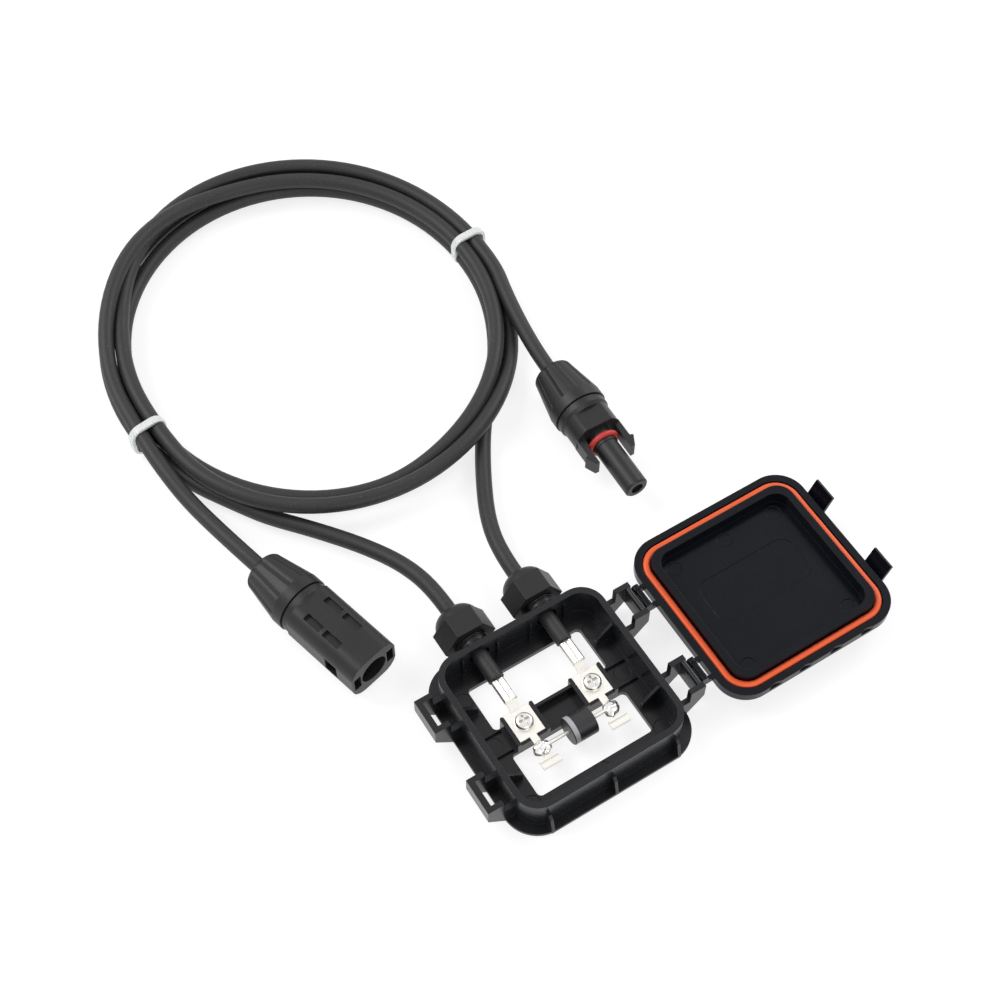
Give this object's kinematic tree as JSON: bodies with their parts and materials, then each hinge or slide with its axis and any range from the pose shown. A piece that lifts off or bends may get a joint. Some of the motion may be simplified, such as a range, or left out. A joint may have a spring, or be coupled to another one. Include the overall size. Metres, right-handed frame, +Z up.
{
  "type": "solar junction box",
  "caption": "Open solar junction box with a hinged, gasketed lid, screw terminals, bypass diode, cable glands and coiled leads that end in a plug and a socket.",
  "frame": {"origin": "middle of the tray's underside, on the plane it is glued down by", "axes": "+X towards the hinge and the open lid, +Y towards the glands and leads, +Z up out of the tray"},
  "size_m": [0.1753, 0.2659, 0.0187],
  "materials": {
    "tray_plastic": "semi-gloss moulded",
    "lid_plastic": "semi-gloss moulded",
    "gasket_rubber": "satin silicone",
    "gland_plastic": "fine matt",
    "seal_rubber": "matt",
    "cable_jacket": "satin extruded",
    "copper_strand": "bright strands",
    "tinned_terminal": "tin plated",
    "screw_steel": "zinc plated",
    "solder": "bright",
    "diode_epoxy": "moulded epoxy",
    "tinned_wire": "tin plated",
    "tie_plastic": "white nylon",
    "connector_plastic": "fine matt",
    "o_ring_rubber": "satin",
    "contact_metal": "tin plated"
  },
  "bodies": {
    "box": {"base_tray": "tray_plastic", "gland_seal_left": "seal_rubber", "gland_seal_right": "seal_rubber", "cable_tail_left": "cable_jacket", "cable_tail_right": "cable_jacket", "conductor_left": "copper_strand", "conductor_right": "copper_strand", "terminal_left": "tinned_terminal", "terminal_right": "tinned_terminal", "solder_left": "solder", "solder_right": "solder", "diode_body": "diode_epoxy", "diode_leads": "tinned_wire", "cable_left_run": "cable_jacket", "cable_right_run": "cable_jacket", "cable_coil": "cable_jacket", "cable_tie_left": "tie_plastic", "cable_tie_right": "tie_plastic", "plug_lead": "cable_jacket", "socket_lead": "cable_jacket", "plug_body": "connector_plastic", "plug_seal": "seal_rubber", "plug_o_ring": "o_ring_rubber", "plug_contact": "contact_metal", "socket_body": "connector_plastic", "socket_seal": "seal_rubber", "socket_contact": "contact_metal"},
    "lid": {"lid": "lid_plastic", "lid_gasket": "gasket_rubber"},
    "gland_nut_left_body": {"gland_nut_left": "gland_plastic"},
    "gland_nut_right_body": {"gland_nut_right": "gland_plastic"},
    "terminal_screw_left_body": {"terminal_screw_left": "screw_steel"},
    "terminal_screw_right_body": {"terminal_screw_right": "screw_steel"},
    "plug_nut_body": {"plug_nut": "connector_plastic"},
    "socket_nut_body": {"socket_nut": "connector_plastic"}
  },
  "joints": [
    {"name": "lid_hinge", "type": "hinge", "parent": "box", "child": "lid", "pos_m": [0.0366, 0, 0.012], "axis": [0, -1, 0], "range_deg": [0, 180]},
    {"name": "gland_nut_left_turn", "type": "hinge", "parent": "box", "child": "gland_nut_left_body", "pos_m": [-0.012, 0.0306, 0.0077], "axis": [0, 1, 0], "range_deg": [0, 1440]},
    {"name": "gland_nut_right_turn", "type": "hinge", "parent": "box", "child": "gland_nut_right_body", "pos_m": [0.012, 0.0306, 0.0077], "axis": [0, 1, 0], "range_deg": [0, 1440]},
    {"name": "terminal_screw_left_turn", "type": "hinge", "parent": "box", "child": "terminal_screw_left_body", "pos_m": [-0.012, 0.00075, 0.0056], "axis": [0, 0, 1], "range_deg": [0, 1440]},
    {"name": "terminal_screw_right_turn", "type": "hinge", "parent": "box", "child": "terminal_screw_right_body", "pos_m": [0.012, 0.00075, 0.0056], "axis": [0, 0, 1], "range_deg": [0, 1440]},
    {"name": "plug_nut_turn", "type": "hinge", "parent": "box", "child": "plug_nut_body", "pos_m": [0.0618, 0.1004, 0.0094], "axis": [0.027, 0.9996, 0], "range_deg": [0, 1080]},
    {"name": "socket_nut_turn", "type": "hinge", "parent": "box", "child": "socket_nut_body", "pos_m": [-0.0536, 0.0854, 0.0094], "axis": [-0.2461, 0.9693, 0], "range_deg": [0, 1080]}
  ]
}
